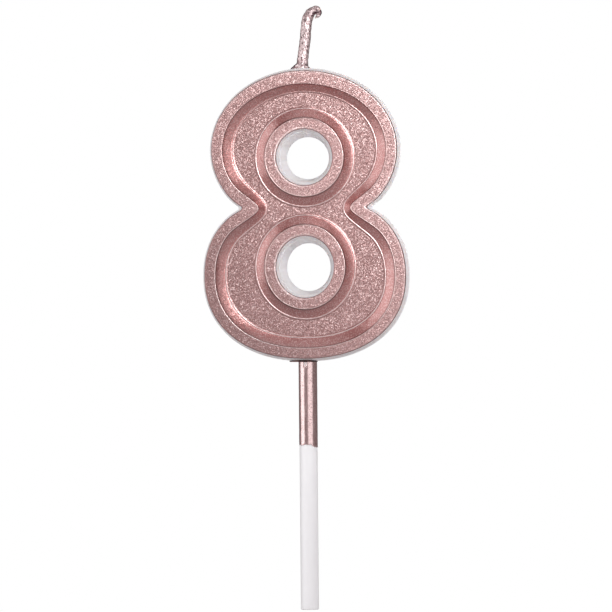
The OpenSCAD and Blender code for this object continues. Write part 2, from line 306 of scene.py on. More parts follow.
def in_polygon(points, loop):
    """Which points lie in a closed polygon."""
    a, b = loop, np.roll(loop, -1, axis=0)
    x, z = points[:, 0][:, None], points[:, 1][:, None]
    crosses = (a[:, 1] > z) != (b[:, 1] > z)
    with np.errstate(divide="ignore", invalid="ignore"):
        at = a[:, 0] + (z - a[:, 1]) * (b[:, 0] - a[:, 0]) / (b[:, 1] - a[:, 1])
    return (crosses & (x < at)).sum(1) % 2 == 1


def in_region(points, bounds):
    inside = in_polygon(points, bounds[0])
    for hole in bounds[1:]:
        inside &= ~in_polygon(points, hole)
    return inside


def mesh_object(name, points, faces, material, smooth_angle=35):
    """An object from points in millimetres, with its faces turned outwards."""
    mesh = bpy.data.meshes.new(name)
    mesh.from_pydata([(p[0] * MM, p[1] * MM, p[2] * MM) for p in points], [], faces)
    bm = bmesh.new()
    bm.from_mesh(mesh)
    bmesh.ops.recalc_face_normals(bm, faces=bm.faces)
    for e in bm.edges:
        sharp = len(e.link_faces) == 2 and e.calc_face_angle(0) > math.radians(smooth_angle)
        e.smooth = not sharp
    for f in bm.faces:
        f.smooth = True
    bm.to_mesh(mesh)
    bm.free()
    mesh.materials.append(material)
    o = bpy.data.objects.new(name, mesh)
    bpy.context.scene.collection.objects.link(o)
    return o


def wobble(points, scale, seed):
    """Smooth noise from -1 to 1 at each point."""
    places = ((x * scale + seed, y * scale - seed, z * scale) for x, y, z in points)
    return np.array([noise.noise(Vector(place)) for place in places])


# ---------------------------------------------------------------- materials


class Nodes:
    """Short ways to add and join shader nodes in one material."""

    def __init__(self, name):
        self.material = bpy.data.materials.new(name)
        self.material.use_nodes = True
        self.tree = self.material.node_tree
        self.shader = self.tree.nodes["Principled BSDF"]
        self.coordinates = self.tree.nodes.new("ShaderNodeTexCoord").outputs["Object"]

    def link(self, source, target):
        self.tree.links.new(source, target)

    def put(self, value, socket):
        if isinstance(value, bpy.types.NodeSocket):
            self.link(value, socket)
        else:
            socket.default_value = value

    def set(self, **values):
        for name, value in values.items():
            self.put(value, self.shader.inputs[name.replace("_", " ")])

    def noise(self, scale, detail=2.0, roughness=0.5, vector=None):
        n = self.tree.nodes.new("ShaderNodeTexNoise")
        self.link(vector or self.coordinates, n.inputs["Vector"])
        n.inputs["Scale"].default_value = scale
        n.inputs["Detail"].default_value = detail
        n.inputs["Roughness"].default_value = roughness
        return n.outputs["Fac"]

    def cells(self, scale, vector=None):
        """Random colour of each cell of a Voronoi pattern."""
        n = self.tree.nodes.new("ShaderNodeTexVoronoi")
        self.link(vector or self.coordinates, n.inputs["Vector"])
        n.inputs["Scale"].default_value = scale
        return n.outputs["Color"]

    def math(self, operation, a, b=0.0):
        n = self.tree.nodes.new("ShaderNodeMath")
        n.operation = operation
        self.put(a, n.inputs[0])
        self.put(b, n.inputs[1])
        return n.outputs[0]

    def vector(self, operation, a, b=(0, 0, 0), scale=None):
        n = self.tree.nodes.new("ShaderNodeVectorMath")
        n.operation = operation
        self.put(a, n.inputs[0])
        self.put(b, n.inputs[1])
        if scale is not None:
            self.put(scale, n.inputs["Scale"])
        return n.outputs[0]

    def split(self, vector):
        n = self.tree.nodes.new("ShaderNodeSeparateXYZ")
        self.link(vector, n.inputs[0])
        return n.outputs

    def ramp(self, value, low, high, to_low=0.0, to_high=1.0):
        n = self.tree.nodes.new("ShaderNodeMapRange")
        n.interpolation_type = "SMOOTHSTEP"
        self.put(value, n.inputs["Value"])
        n.inputs["From Min"].default_value = low
        n.inputs["From Max"].default_value = high
        n.inputs["To Min"].default_value = to_low
        n.inputs["To Max"].default_value = to_high
        return n.outputs["Result"]

    def mix(self, factor, a, b):
        n = self.tree.nodes.new("ShaderNodeMix")
        n.data_type = "RGBA"
        self.put(factor, n.inputs["Factor"])
        self.put(a, n.inputs["A"])
        self.put(b, n.inputs["B"])
        return n.outputs["Result"]

    def blend(self, factor, a, b):
        n = self.tree.nodes.new("ShaderNodeMix")
        self.put(factor, n.inputs["Factor"])
        self.put(a, n.inputs["A"])
        self.put(b, n.inputs["B"])
        return n.outputs["Result"]

    def attribute(self, name):
        n = self.tree.nodes.new("ShaderNodeAttribute")
        n.attribute_name = name
        return n.outputs["Fac"]

    def bump(self, height, distance, strength=1.0, normal=None):
        n = self.tree.nodes.new("ShaderNodeBump")
        self.put(height, n.inputs["Height"])
        n.inputs["Distance"].default_value = distance
        n.inputs["Strength"].default_value = strength
        if normal:
            self.link(normal, n.inputs["Normal"])
        return n.outputs["Normal"]

    def tilted(self, tilt, colours):
        """The surface's normal, turned in each cell by its own random amount."""
        normal = self.tree.nodes.new("ShaderNodeNewGeometry").outputs["Normal"]
        for colour in colours:
            off = self.vector("SUBTRACT", colour, (0.5, 0.5, 0.5))
            normal = self.vector("ADD", normal, self.vector("SCALE", off, scale=tilt))
        return self.vector("NORMALIZE", normal)


def rgb(r, g, b):
    return (r, g, b, 1.0)


def face_material():
    """Metallic lacquer: glitter on the flats, satin on the slopes, with painted highlight and painted shade
    along the edges and painted shade towards the lower left.
    """
    k = Nodes("rose_face_lacquer")
    satin, painted_light = k.attribute("satin"), k.attribute("painted_light")
    coarse, fine = k.cells(7000), k.cells(12500)
    spot, dust = k.split(coarse), k.split(fine)
    cloud = k.noise(260, 3)
    sunk = k.ramp(k.split(k.coordinates)[1], -0.0038, -0.0031)
    base = k.mix(cloud, rgb(0.56, 0.34, 0.33), rgb(0.64, 0.40, 0.39))
    base = k.mix(sunk, base, k.mix(cloud, rgb(0.47, 0.275, 0.265), rgb(0.55, 0.33, 0.32)))
    light = k.mix(k.ramp(spot[0], 0.62, 1.0), base, rgb(0.74, 0.54, 0.53))
    dark = k.mix(k.ramp(dust[1], 0.60, 0.95, 0.0, 0.6), light, rgb(0.27, 0.15, 0.145))
    smooth = k.mix(cloud, rgb(0.49, 0.185, 0.172), rgb(0.55, 0.228, 0.215))
    smooth = k.mix(k.ramp(dust[0], 0.45, 0.95, 0.0, 0.35), smooth, rgb(0.30, 0.12, 0.11))
    smooth = k.mix(k.ramp(spot[1], 0.55, 1.0, 0.0, 0.65), smooth, rgb(0.78, 0.50, 0.49))
    colour = k.mix(satin, dark, smooth)
    # Painted shade: the lacquer is darker towards the lower left, and less so on the sunk field.
    x, _, z = k.split(k.coordinates)
    lower_left_shade = k.ramp(k.math("ADD", z, k.math("MULTIPLY", x, 1.2)), 0.010, 0.040, 0.30, 0.0)
    colour = k.mix(k.math("MULTIPLY", lower_left_shade, k.blend(sunk, 1.0, 0.25)), colour, rgb(0.10, 0.05, 0.05))
    # Painted highlight lines and painted shade lines along the edges, from the mark on the mesh.
    colour = k.mix(k.ramp(painted_light, 0.0, 1.0, 0.0, 0.75), colour, rgb(0.90, 0.74, 0.73))
    colour = k.mix(k.ramp(painted_light, -1.0, 0.0, 0.95, 0.0), colour, rgb(0.13, 0.055, 0.05))
    normal = k.tilted(k.blend(satin, 0.33, 0.13), (coarse, fine))
    normal = k.bump(k.noise(900, 2), 0.00002, 0.35, normal)
    normal = k.bump(k.math("MULTIPLY", k.noise(420, 2), satin), 0.0002, 0.5, normal)
    k.set(Base_Color=colour, Metallic=1.0, Roughness=k.blend(satin, 0.50, 0.36), Normal=normal)
    k.set(Coat_Weight=k.blend(satin, 0.22, 1.0), Coat_Roughness=0.13, Coat_IOR=1.9, Coat_Normal=normal)
    return k.material


def wax_material():
    """White wax, with a faint overspray of lacquer on its front third."""
    k = Nodes("white_wax")
    depth = k.split(k.coordinates)[1]
    cloud = k.noise(420, 4, 0.6)
    base = k.mix(k.noise(90, 2), rgb(0.93, 0.915, 0.93), rgb(0.97, 0.955, 0.965))
    edge_at = k.math("ADD", depth, k.math("MULTIPLY", k.math("SUBTRACT", cloud, 0.5), 0.0012))
    mist = k.ramp(edge_at, (PARTING_Y - 0.7) * MM, (PARTING_Y + 0.05) * MM, 1.0, 0.0)
    speck = k.ramp(k.split(k.cells(7000))[0], 0.45, 0.9)
    share = k.math("MULTIPLY", mist, k.math("ADD", 0.14, k.math("MULTIPLY", speck, 0.22)))
    k.set(Base_Color=k.mix(share, base, rgb(0.66, 0.44, 0.43)))
    k.set(Roughness=k.ramp(cloud, 0.3, 0.7, 0.36, 0.5), Subsurface_Weight=0.3, Subsurface_Scale=MM)
    k.set(Subsurface_Radius=(1.6, 1.3, 1.1), IOR=1.43)
    k.set(Normal=k.bump(k.noise(700, 4), 0.00003, 0.5))
    return k.material


def pick_lacquer_material():
    k = Nodes("rose_pick_lacquer")
    streak = k.vector("MULTIPLY", k.coordinates, (1.0, 1.0, 0.16))
    cloud = k.noise(2600, 3, 0.6, streak)
    speck = k.split(k.cells(8200))
    base = k.mix(cloud, rgb(0.75, 0.54, 0.54), rgb(0.93, 0.74, 0.73))
    flecked = k.mix(k.ramp(speck[0], 0.62, 1.0, 0.0, 0.6), base, rgb(0.42, 0.25, 0.25))
    # The plate at the pick's root is painted near black, as painted shade where the pick meets the wax.
    painted_root_shade = k.ramp(k.attribute("painted_light"), -1.0, 0.0, 1.0, 0.0)
    k.set(Base_Color=k.mix(painted_root_shade, flecked, rgb(0.10, 0.045, 0.045)))
    k.set(Metallic=1.0, Roughness=k.ramp(cloud, 0.3, 0.7, 0.17, 0.26))
    k.set(Normal=k.bump(k.noise(4200, 3), 0.000016, 0.55), Coat_Weight=0.2, Coat_Roughness=0.12)
    return k.material


def pick_plastic_material():
    k = Nodes("white_pick_plastic")
    cloud = k.noise(160, 3)
    k.set(Base_Color=k.mix(cloud, rgb(0.93, 0.925, 0.95), rgb(0.96, 0.955, 0.975)))
    k.set(Roughness=k.ramp(cloud, 0.3, 0.7, 0.28, 0.36), Subsurface_Weight=0.15)
    k.set(Subsurface_Scale=MM, Subsurface_Radius=(1.0, 1.0, 1.0))
    flow = k.vector("MULTIPLY", k.coordinates, (1.0, 1.0, 0.05))
    k.set(Normal=k.bump(k.noise(1500, 2, 0.5, flow), 0.000008, 0.4))
    return k.material


def wick_coat_material():
    k = Nodes("rose_wick_lacquer")
    specks_and_painted_shade = k.attribute("specks_and_painted_shade")
    cloud = k.noise(1500, 4, 0.6)
    speck = k.split(k.cells(5200))
    base = k.mix(cloud, rgb(0.60, 0.43, 0.43), rgb(0.88, 0.77, 0.775))
    flecked = k.mix(k.ramp(speck[0], 0.80, 0.94, 0.0, 0.7), base, rgb(0.30, 0.15, 0.15))
    # Dark specks and painted shade from the wick's mark.
    k.set(Base_Color=k.mix(specks_and_painted_shade, flecked, rgb(0.085, 0.035, 0.045)))
    k.set(Metallic=0.9, Roughness=k.ramp(cloud, 0.3, 0.7, 0.40, 0.56))
    k.set(Normal=k.bump(k.noise(2200, 4, 0.6), 0.0001, 0.7), Coat_Weight=0.3, Coat_Roughness=0.15)
    return k.material


def cotton_material():
    k = Nodes("waxed_cotton")
    fibre = k.noise(6000, 3, 0.6, k.vector("MULTIPLY", k.coordinates, (1.0, 1.0, 0.3)))
    k.set(Base_Color=k.mix(fibre, rgb(0.42, 0.26, 0.24), rgb(0.86, 0.76, 0.70)), Roughness=0.75)
    k.set(Normal=k.bump(fibre, 0.00006, 0.8))
    return k.material


def floor_material():
    k = Nodes("studio_floor")
    k.set(Base_Color=k.mix(k.noise(3, 2), rgb(0.73, 0.73, 0.735), rgb(0.76, 0.76, 0.765)), Roughness=0.9)
    return k.material


# ---------------------------------------------------------------- figure

OUTER_SLOPE = slope_profile(BEVEL_W, RELIEF_D)
RIM_SLOPE = slope_profile(RIM_BEVEL_W, RELIEF_D)


def wall_grow(y):
    """How far the wax wall stands out from the face's outline at depth y."""
    if y <= PARTING_Y:
        return -FILM + (FRONT_FLARE + FILM) * (y - WAX_Y) / (PARTING_Y - WAX_Y)
    return FRONT_FLARE - BACK_TAPER * (y - PARTING_Y) / (BACK_Y - PARTING_Y)


def highlight_by_side(painted_light, share):
    """A painted highlight takes a share of its strength, and painted shade stays as it is."""
    return painted_light * share if painted_light > 0 else painted_light


def add_face(shell, skin, front_y, round_r):
    """Adds the front of the figure, drawn in by skin.

    Returns its outermost ring and the ring round each eye, all at round_r behind the front.
    """
    turn = np.linspace(0, math.pi / 2, len(ROUND_SATIN_AND_PAINTED_LIGHT))
    rings = []
    for a, (satin, painted_light) in zip(turn, ROUND_SATIN_AND_PAINTED_LIGHT):
        flat = edge(-skin - round_r + round_r * math.cos(a))
        # Painted highlights on the rounded outer edge are strongest where it faces the upper right.
        share = 0.42 + 0.34 * facing(flat, WAIST_Z, 45)
        y = front_y + round_r - round_r * math.sin(a)
        rings.append(shell.ring(flat, y, satin, highlight_by_side(painted_light, share)))
    lip, border = edge(-skin - round_r - LIP_W), inset(BORDER, OUTER_SLOPE[0][0])
    rings.append(shell.ring(lip, front_y))
    for s in (0.3, 0.65):
        rings.append(shell.ring(lip + s * (border - lip), front_y))
    for d, y, satin, painted_light in OUTER_SLOPE:
        flat = inset(BORDER, d)
        # Painted highlights on the outer slope are weaker over the top of the figure and stronger at its
        # bottom.
        share = 0.95 - 0.40 * facing(flat, WAIST_Z, 90)
        rings.append(shell.ring(flat, front_y + y, satin, highlight_by_side(painted_light, share)))
    shell.bands(rings)
    eye_edges, feet = [], []
    for eye in EYES:
        path = [
            shell.ring(eye_ring(eye, RIM_W + d), front_y + y, satin, painted_light)
            for d, y, satin, painted_light in reversed(RIM_SLOPE)
        ]
        flat_end = skin + round_r
        for s in (0.35, 0.7, 1.0):
            path.append(shell.ring(eye_ring(eye, RIM_W + s * (flat_end + LIP_W - RIM_W)), front_y))
        for a, (satin, painted_light) in zip(turn, reversed(ROUND_SATIN_AND_PAINTED_LIGHT)):
            flat = eye_ring(eye, flat_end - round_r * math.sin(a))
            # Painted highlights round an eye's rounded edge are strongest on its left.
            share = 0.62 + 0.50 * facing(flat, eye[0], 180)
            y = front_y + round_r - round_r * math.cos(a)
            path.append(shell.ring(flat, y, satin, highlight_by_side(painted_light, share)))
        shell.bands(path)
        feet.append(path[0])
        eye_edges.append(path[-1])
    shell.fill(rings[-1], feet)
    return rings[0], eye_edges


def ragged(points, seed, amount):
    """A small shift for each point of a ring, like the edge of a sprayed coat."""
    p3 = np.stack([points[:, 0], np.zeros(len(points)), points[:, 1]], axis=1)
    return amount * (wobble(p3, 1.4, seed) + 0.6 * wobble(p3, 4.3, seed + 5))


END_Y = WAX_Y + FILM_WRAP
# Depth and thickness of the lacquer film where it wraps over an edge and ends
LIP = ((-3.66, FILM), (END_Y - 0.05, 0.09), (END_Y, 0.05), (END_Y, 0.0), (END_Y - 0.08, -0.01))


def build_coat(material):
    """The lacquer film over the face: its outside, its inside and the lips that join them."""
    shell = Shell()
    outside, outer_eyes = add_face(shell, 0.0, FRONT_Y, COAT_ROUND)
    inside, inner_eyes = add_face(shell, FILM, WAX_Y, WAX_ROUND)
    rings = [outside]
    for y, film in LIP:
        flat = edge(wall_grow(y) + film)
        # The lacquer's lip where it ends on the wall is painted dark, as painted shade along the coat's
        # edge.
        rings.append(shell.ring(flat, y + ragged(flat, 3.1, 0.05), 0.6, -0.7))
    shell.bands(rings + [inside])
    for n, eye in enumerate(EYES):
        rings = [outer_eyes[n]]
        for y, film in LIP:
            flat = eye_ring(eye, FILM - EYE_SLOPE * (y - FRONT_Y) - film)
            # The lacquer's lip in an eye is painted dark, as painted shade along the coat's edge.
            rings.append(shell.ring(flat, y + ragged(flat, 7.3 + n, 0.05), 0.6, -0.7))
        shell.bands(rings + [inner_eyes[n]])
    return shell.object("face_lacquer_film", material, 60)


def back_depth(flat, clear):
    """The poured back sinks a little inside its edge and isn't quite flat."""
    p3 = np.stack([flat[:, 0], np.zeros(len(flat)), flat[:, 1]], axis=1)
    sunk = 0.16 * (1 - np.exp(-clear / 1.1))
    return BACK_Y - sunk + 0.035 * wobble(p3, 0.16, 2.0) + 0.012 * wobble(p3, 0.7, 9.0)


SEAM = 0.05
# Depths of the rings down the side wall and down an eye, and how far each stands out at the seam
WALL_RINGS = (
    (-3.5, 0), (-2.9, 0), (-2.2, 0), (-1.6, 0), (-1.42, 0), (-1.34, SEAM), (-1.26, SEAM), (-1.18, 0),
    (-0.8, 0), (0.2, 0), (1.4, 0), (2.6, 0), (3.4, 0),
)
EYE_RINGS = (
    (-3.5, 0), (-2.6, 0), (-1.8, 0), (-1.42, 0), (-1.36, SEAM), (-1.28, SEAM), (-1.22, -0.02),
    (-0.6, 0), (0.6, 0), (2.0, 0), (3.2, 0),
)
BACK_ROUND, EYE_BACK_ROUND = 0.28, 0.2


def build_wax(material):
    """The wax casting: front, side wall with its parting line, eyes and poured back."""
    shell = Shell()
    outside, eye_edges = add_face(shell, FILM, WAX_Y, WAX_ROUND)
    rings = [outside]
    for y, extra in WALL_RINGS:
        rings.append(shell.ring(edge(wall_grow(y) + extra), y))
    for a in np.linspace(0, math.pi / 2, 6):
        y = BACK_Y - BACK_ROUND + BACK_ROUND * math.sin(a)
        rings.append(shell.ring(edge(wall_grow(y) - BACK_ROUND + BACK_ROUND * math.cos(a)), y))
    shell.bands(rings)
    holes = []
    for eye, start in zip(EYES, eye_edges):
        path = [start]
        for y, extra in EYE_RINGS:
            path.append(shell.ring(eye_ring(eye, FILM + extra - EYE_SLOPE * (y - FRONT_Y)), y))
        for a in np.linspace(0, math.pi / 2, 6):
            y = BACK_Y - EYE_BACK_ROUND + EYE_BACK_ROUND * math.sin(a)
            wide = FILM - EYE_SLOPE * (y - FRONT_Y) + EYE_BACK_ROUND - EYE_BACK_ROUND * math.cos(a)
            path.append(shell.ring(eye_ring(eye, wide), y))
        shell.bands(path)
        holes.append(path[-1])
    shell.fill(rings[-1], holes, 0.7, back_depth)
    return shell.object("wax_casting", material, 50)


# ---------------------------------------------------------------- pick

# Points round the pick, and round the plate at its root and the table
AROUND = 192
DISC_N = 96
TIP_ROUND = 0.22


def circle(r, z):
    t = np.arange(AROUND) * 2 * np.pi / AROUND
    r, z = np.broadcast_to(r, (AROUND,)), np.broadcast_to(z, (AROUND,))
    return np.stack([r * np.cos(t), r * np.sin(t), z], axis=1)


def build_pick(material):
    """The bare rod with a rounded, cut tip. It goes on inside the lacquer and ends in the wax."""
    shell = Shell()
    tip = -INSERT_L
    rings = [shell.ring3(circle(PICK_R - 0.3, tip))]
    for a in np.linspace(0, math.pi / 2, 6):
        r = PICK_R - TIP_ROUND + TIP_ROUND * math.sin(a)
        rings.append(shell.ring3(circle(r, tip + TIP_ROUND - TIP_ROUND * math.cos(a))))
    for z in np.arange(tip + 1, FACE_Z + 2, 0.5):
        points = circle(PICK_R, z)
        points[:, :2] *= 1 + 0.004 * wobble(points, 0.5, 4.0)[:, None]
        rings.append(shell.ring3(points))
    shell.bands(rings)
    shell.cap(rings[0], (0, 0, tip + 0.02))
    shell.cap(rings[-1], (0, 0, FACE_Z + 2))
    return shell.object("pick_rod_plastic", material)


def build_pick_lacquer(material):
    """The lacquer on the pick: an uneven lower end, two grooves at its root and a plate on the wax, painted
    near black as painted shade.
    """
    shell = Shell()
    t = np.arange(AROUND) * 2 * np.pi / AROUND
    ring = circle(PICK_R, 0.0)
    low = BARE_L - INSERT_L + 0.28 * wobble(ring, 1.3, 6.0) + 0.16 * wobble(ring, 4.5, 1.0)
    low -= 0.5 * np.maximum(0, np.cos(t)) ** 2
    rings = [shell.ring3(circle(PICK_R + 0.002, low + 0.02))]
    for up, film in ((0.0, 0.012), (0.05, 0.03), (0.16, 0.045), (0.4, PICK_FILM)):
        rings.append(shell.ring3(circle(PICK_R + film, low + up)))
    top = FACE_Z + 0.9
    for s in np.linspace(0.03, 1, 90):
        z = (low + 0.4) * (1 - s) + top * s
        points = circle(PICK_R + PICK_FILM, z)
        swell = 0.012 * wobble(points, 1.1, 8.0)
        x = points[:, 0]
        groove = np.exp(-(((x + 0.45) / 0.09) ** 2)) + np.exp(-(((x + 0.12) / 0.08) ** 2))
        groove *= (points[:, 1] < 0) * np.clip((points[:, 2] - (FACE_Z - 1.7)) / 0.9, 0, 1)
        points[:, :2] *= 1 + (swell - 0.10 * groove)[:, None] / PICK_R
        rings.append(shell.ring3(points))
    rings.append(shell.ring3(circle(PICK_R - 0.05, top)))
    rings.append(shell.ring3(circle(PICK_R - 0.05, low + 0.1)))
    shell.bands(rings + [rings[0]])
    plate_y, plate_z = PARTING_Y + 0.3, FACE_Z - FRONT_FLARE - 0.05
    u = np.arange(DISC_N) * 2 * np.pi / DISC_N
    across = np.where(np.cos(u) < 0, 2.95, 1.75) * np.cos(u)
    deep = plate_y + 1.5 * np.sin(u) * (0.25 + 0.75 * np.abs(np.sin(u)))
    inner = np.stack([0.9 * across, deep, np.full(DISC_N, plate_z)], axis=1)
    outer = np.stack([across, deep, np.full(DISC_N, plate_z)], axis=1)
    sides = ((inner, 0.12), (outer, 0.10), (outer, -0.08), (inner, -0.11))
    # The plate's rings carry full painted shade.
    plate = [shell.ring3(p + (0, 0, h), 0.0, -1.0) for p, h in sides]
    shell.bands(plate)
    shell.cap(plate[0], (0, plate_y, plate_z + 0.07))
    shell.cap(plate[-1], (0, plate_y, plate_z - 0.07))
    return shell.object("pick_lacquer_coat", material, 60)


# ---------------------------------------------------------------- wick

# The wick's centre line as (across, above the figure's top). It starts inside the wax
ROUTE = [
    (-0.55, -1.2), (-0.55, 0), (-0.47, 1.2), (-0.31, 2.8), (0, 5.1),
    (0.2, 7.2), (0.46, 8.8), (1.2, 9.95), (2.5, 10.2),
]
LAY_R = (STRAND_D + STRAND_GAP) / math.sqrt(3)
STEP = 0.12
ELLIPSE_N = 20


def spline(points, s):
    """Catmull-Rom curve through points, at parameter s from 0 to the last index."""
    last = len(points) - 1
    i = min(int(s), last - 1)
    u = s - i
    p0, p1, p2, p3 = (np.array(points[j], float) for j in (max(0, i - 1), i, i + 1, min(last, i + 2)))
    return 0.5 * (
        2 * p1 + (p2 - p0) * u + (2 * p0 - 5 * p1 + 4 * p2 - p3) * u * u + (3 * p1 - p0 - 3 * p2 + p3) * u**3
    )


def even(points):
    """Points at even steps along the curve, and the length from its start to each."""
    fine = np.array([spline(points, s) for s in np.linspace(0, len(points) - 1, 60 * len(points))])
    run = np.concatenate([[0], np.cumsum(np.linalg.norm(np.diff(fine, axis=0), axis=1))])
    at = np.linspace(0, run[-1], max(3, int(run[-1] / STEP)))
    return np.stack([np.interp(at, run, fine[:, k]) for k in range(fine.shape[1])], axis=1), at


def tube(path, radii, sides=16):
    """Closed round tube along a path of 3-D points."""
    shell = Shell()
    along = np.gradient(path, axis=0)
    along /= np.linalg.norm(along, axis=1)[:, None]
    side = np.cross(along, (0, 1, 0))
    side /= np.linalg.norm(side, axis=1)[:, None]
    deep = np.cross(along, side)
    t = np.arange(sides) * 2 * np.pi / sides
    rings = []
    for p, s, d, r in zip(path, side, deep, radii):
        rings.append(shell.ring3([p + r * (math.cos(a) * s + math.sin(a) * d) for a in t]))
    shell.bands(rings)
    shell.cap(rings[0], path[0])
    shell.cap(rings[-1], path[-1] + along[-1] * radii[-1] * 0.5)
    return shell


def strand_path(start, end_at, tail):
    """Centre line of one laid strand, with its own loose tail past end_at along the wick."""
    centre, run = even(ROUTE)
    along = np.gradient(centre, axis=0)
    along /= np.linalg.norm(along, axis=1)[:, None]
    angle = math.radians(start) + 2 * math.pi * (run + 6) / STRAND_PITCH
    side = np.stack([along[:, 1], -along[:, 0]], axis=1)
    x = centre[:, 0] + LAY_R * np.cos(angle) * side[:, 0]
    z = TOP_Z + centre[:, 1] + LAY_R * np.cos(angle) * side[:, 1]
    laid = np.stack([x, LAY_R * np.sin(angle), z], axis=1)
    laid = laid[run <= end_at]
    if not tail:
        return laid
    loose = [laid[-8], laid[-1]] + [(x, y, TOP_Z + h) for x, y, h in tail]
    bent, _ = even(loose)
    return np.concatenate([laid[:-8], bent])


# Each strand's starting angle, the length it is laid for, and its loose tail
STRANDS = (
    (90, 11.0, [(1.7, -0.3, 10.45), (2.3, -0.3, 10.4), (2.6, -0.3, 10.25)]),
    (210, 11.0, [(1.7, 0.4, 10.4), (2.25, 0.45, 10.35), (2.55, 0.4, 10.15)]),
    (330, 10.5, [(1.8, 0.0, 10.0), (2.45, -0.1, 9.85), (2.3, -0.2, 9.35), (1.75, -0.2, 8.85)]),
)


def joined(shells):
    points, faces = [], []
    for s in shells:
        faces += [tuple(i + len(points) for i in f) for f in s.faces]
        points += s.points
    return points, faces


def blob(centre, radii, turn=0.0):
    """An ellipsoid, turned about the Y axis."""
    shell = Shell()
    rings = []
    t = np.arange(ELLIPSE_N) * 2 * np.pi / ELLIPSE_N
    for a in np.linspace(-math.pi / 2, math.pi / 2, 12)[1:-1]:
        x, y = radii[0] * math.cos(a) * np.cos(t), radii[1] * math.cos(a) * np.sin(t)
        rings.append(np.stack([x, y, np.full(ELLIPSE_N, radii[2] * math.sin(a))], axis=1))
    c, s = math.cos(turn), math.sin(turn)
    rotate = np.array([[c, 0, -s], [0, 1, 0], [s, 0, c]])
    ids = [shell.ring3(r @ rotate + centre) for r in rings]
    shell.bands(ids)
    shell.cap(ids[0], np.array((0, 0, -radii[2])) @ rotate + centre)
    shell.cap(ids[-1], np.array((0, 0, radii[2])) @ rotate + centre)
    return shell


def merged(name, shells, voxel, smooth):
    """One closed skin round overlapping shells, as (points, faces) in millimetres."""
    points, faces = joined(shells)
    mesh = bpy.data.meshes.new(name)
    mesh.from_pydata([tuple(p) for p in points], [], faces)
    o = bpy.data.objects.new(name, mesh)
    bpy.context.scene.collection.objects.link(o)
    remesh = o.modifiers.new("skin", "REMESH")
    remesh.mode = "VOXEL"
    remesh.voxel_size = voxel
    soft = o.modifiers.new("soft", "SMOOTH")
    soft.factor = 0.5
    soft.iterations = smooth
    result = o.evaluated_get(bpy.context.evaluated_depsgraph_get()).to_mesh()
    places = np.zeros(len(result.vertices) * 3, np.float32)
    normals = np.zeros(len(result.vertices) * 3, np.float32)
    result.vertices.foreach_get("co", places)
    result.vertex_normals.foreach_get("vector", normals)
    skin_faces = [tuple(p.vertices) for p in result.polygons]
    bpy.data.objects.remove(o)
    return places.reshape(-1, 3), normals.reshape(-1, 3), skin_faces


def wick_specks_and_shade(places):
    """Where the wick's lacquer is painted dark: painted shadow on the fin at its foot and painted shade in
    its slit, and a dark spot, tip, hood and specks along it.
    """
    x, h = places[:, 0], places[:, 2] - TOP_Z
    # Painted shadow on the fin at the foot.
    fin = np.clip((0.73 * (h - 0.62) - 0.68 * (x + 2.0) + 0.12) / 0.12, 0, 1)
    fin *= np.clip((-1.15 - x) / 0.15, 0, 1)
    spot = np.exp(-(((x - 0.75) / 0.16) ** 2) - ((h - 0.35) / 0.25) ** 2)
    # Painted shade in the slit.
    slit = np.exp(-(((h - 9.62 - 0.22 * (x - 1.4)) / 0.13) ** 2)) * np.clip((x - 1.2) / 0.2, 0, 1)
    tip = np.clip((x - 2.55) / 0.3, 0, 0.8) * np.clip((10.5 - h) / 0.3, 0, 1)
    specks = np.clip(3.6 * wobble(places, 2.9, 21.0) - 0.80, 0, 0.7)
    specks += np.clip(4.0 * wobble(places, 5.2, 33.0) - 1.2, 0, 0.6)
    hood = 0.22 * np.clip((h - 8.9) / 0.8, 0, 1) * (1 + wobble(places, 2.0, 5.0))
    return np.clip(fin + spot + slit + tip + specks + hood, 0, 1)


def build_wick(coat_material, strand_material):
    """The lacquered skin, closed over the stem, the strands and the foot, and the strands inside it."""
    shells, strands = [], []
    for n, (start, end_at, tail) in enumerate(STRANDS):
        path = strand_path(start, end_at, tail)
        radii = np.full(len(path), STRAND_D / 2 + WICK_FILM + 0.05)
        taper = min(14, len(path))
        radii[-taper:] *= np.linspace(1, 0.68 if n < 2 else 0.38, taper)
        shells.append(tube(path[:-2], radii[:-2]))
        core = tube(path, 0.6 * radii, 12)
        strands.append(mesh_object(f"wick_strand_core_{n + 1}", core.points, core.faces, strand_material))
    centre, run = even(ROUTE)
    kept = run < 12.3
    stem = np.stack([centre[:, 0], np.zeros(len(centre)), TOP_Z + centre[:, 1]], axis=1)[kept]
    rise = run[kept] - 1.2
    width = 0.90 + 0.26 * np.exp(-np.maximum(rise, 0) / 0.9) - 0.22 * np.clip((rise - 9.0) / 2.0, 0, 1)
    shells.append(tube(stem, width, 28))
    shells.append(blob((-0.42, -0.1, TOP_Z + 0.24), (1.42, 1.25, 0.40), -0.10))
    shells.append(blob((-1.15, -0.30, TOP_Z + 0.75), (0.36, 0.45, 0.66), -0.35))
    shells.append(blob((0.42, -0.35, TOP_Z + 0.36), (0.40, 0.45, 0.46), 0.35))
    shells.append(blob((-1.88, -0.5, TOP_Z + 0.58), (1.20, 0.32, 0.30), -0.76))
    places, normals, faces = merged("wick_skin", shells, 0.045, 3)
    crinkle = 0.065 * wobble(places, 1.9, 3.0) + 0.032 * wobble(places, 4.6, 7.0)
    places = places + normals * crinkle[:, None]
    coat = mesh_object("wick_lacquer_coat", places, faces, coat_material, 75)
    mark = coat.data.attributes.new("specks_and_painted_shade", "FLOAT", "POINT")
    mark.data.foreach_set("value", wick_specks_and_shade(places).astype(np.float32))
    return coat, strands


# ---------------------------------------------------------------- assembly

rose_face, rose_pick, rose_wick = face_material(), pick_lacquer_material(), wick_coat_material()
wax, plastic, cotton = wax_material(), pick_plastic_material(), cotton_material()

